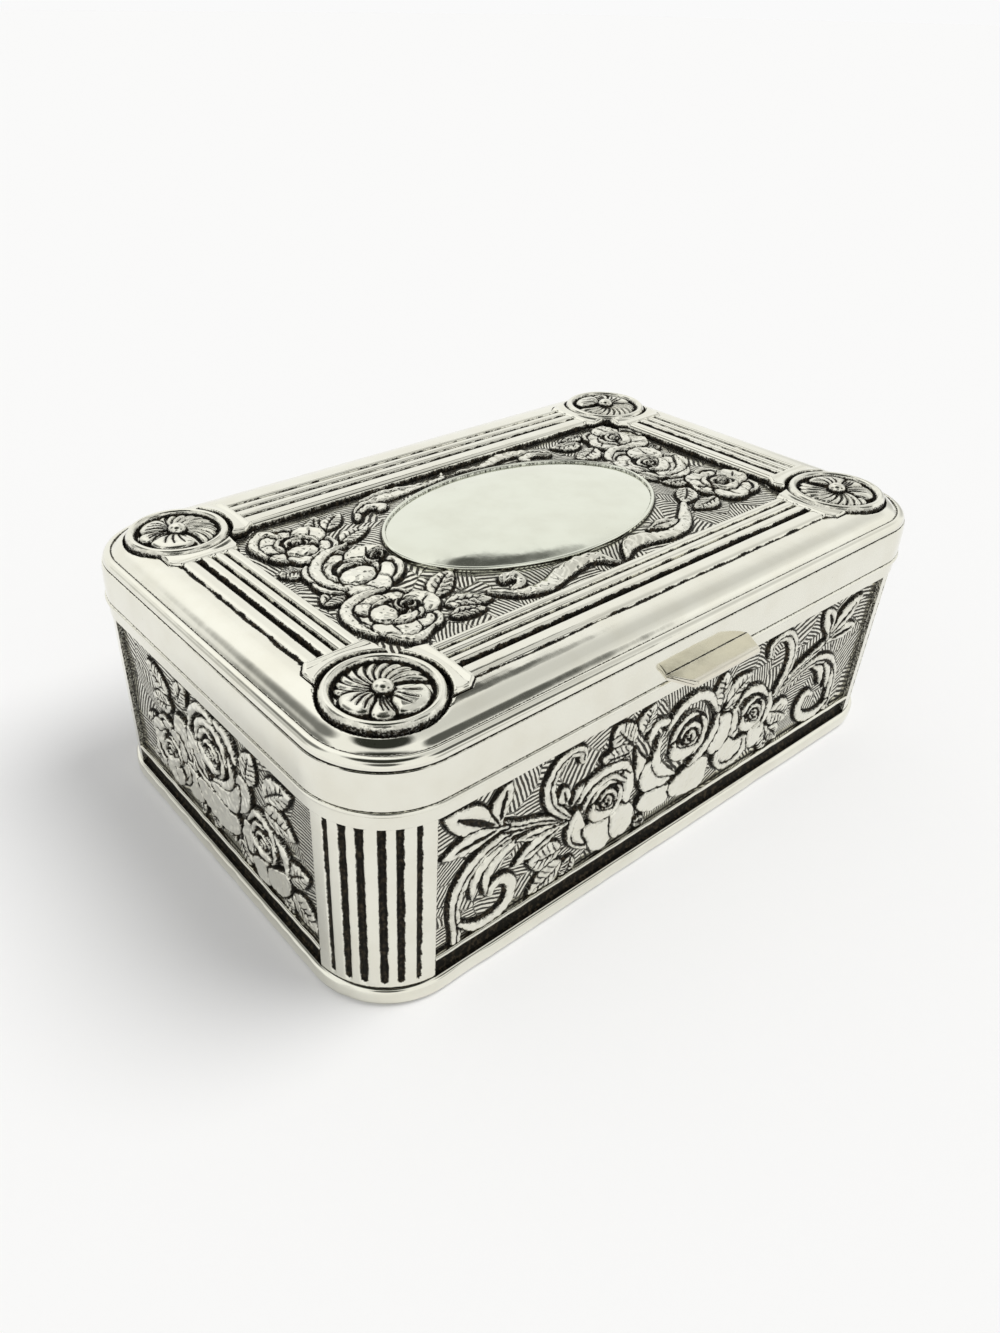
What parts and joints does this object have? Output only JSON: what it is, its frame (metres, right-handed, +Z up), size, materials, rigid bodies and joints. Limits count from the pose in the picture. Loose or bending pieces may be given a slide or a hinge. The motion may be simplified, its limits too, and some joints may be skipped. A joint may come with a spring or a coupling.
{
  "type": "jewelry casket",
  "caption": "Rectangular plated metal casket with rounded reeded corners, floral relief panels, a lid hinged at the back with a bare oval plaque, and a lined inside.",
  "frame": {"origin": "middle of the underside, on the surface that the box stands on", "axes": "+X along the length, to the right seen from the front; +Y from the thumb tab to the hinge; +Z up"},
  "size_m": [0.165, 0.1156, 0.061],
  "materials": {
    "silver_plate": "polished silver plate, blackened in the grooves",
    "relief_plate": "polished relief over a blackened, hatched ground",
    "rosette_plate": "polished silver plate, blackened in the grooves",
    "plaque_plate": "mirror polish with faint scratches",
    "tab_plate": "worn plate, slightly warm",
    "hinge_plate": "plated strip",
    "velvet": "short-pile velvet",
    "card": "grey board",
    "base_sheet": "plain sheet",
    "felt": "pressed felt"
  },
  "bodies": {
    "case": {"base_rail": "silver_plate", "base_plate": "base_sheet", "base_felt": "felt", "floor_card": "card", "case_frame": "silver_plate", "front_panel": "relief_plate", "back_panel": "relief_plate", "left_panel": "relief_plate", "right_panel": "relief_plate", "wall_lining": "velvet", "floor_pad": "velvet", "case_hinge_leaf": "hinge_plate", "hinge_pin": "hinge_plate"},
    "lid": {"lid_shell": "silver_plate", "rosette_front_left": "rosette_plate", "rosette_front_right": "rosette_plate", "rosette_back_left": "rosette_plate", "rosette_back_right": "rosette_plate", "oval_plaque": "plaque_plate", "lid_card": "card", "lid_pad": "velvet", "skirt_lining": "velvet", "lid_hinge_leaf": "hinge_plate", "thumb_tab": "tab_plate"}
  },
  "joints": [
    {"name": "lid_hinge", "type": "hinge", "parent": "case", "child": "lid", "pos_m": [0, 0.05525, 0.04605], "axis": [-1, 0, 0], "range_deg": [0, 100]}
  ]
}
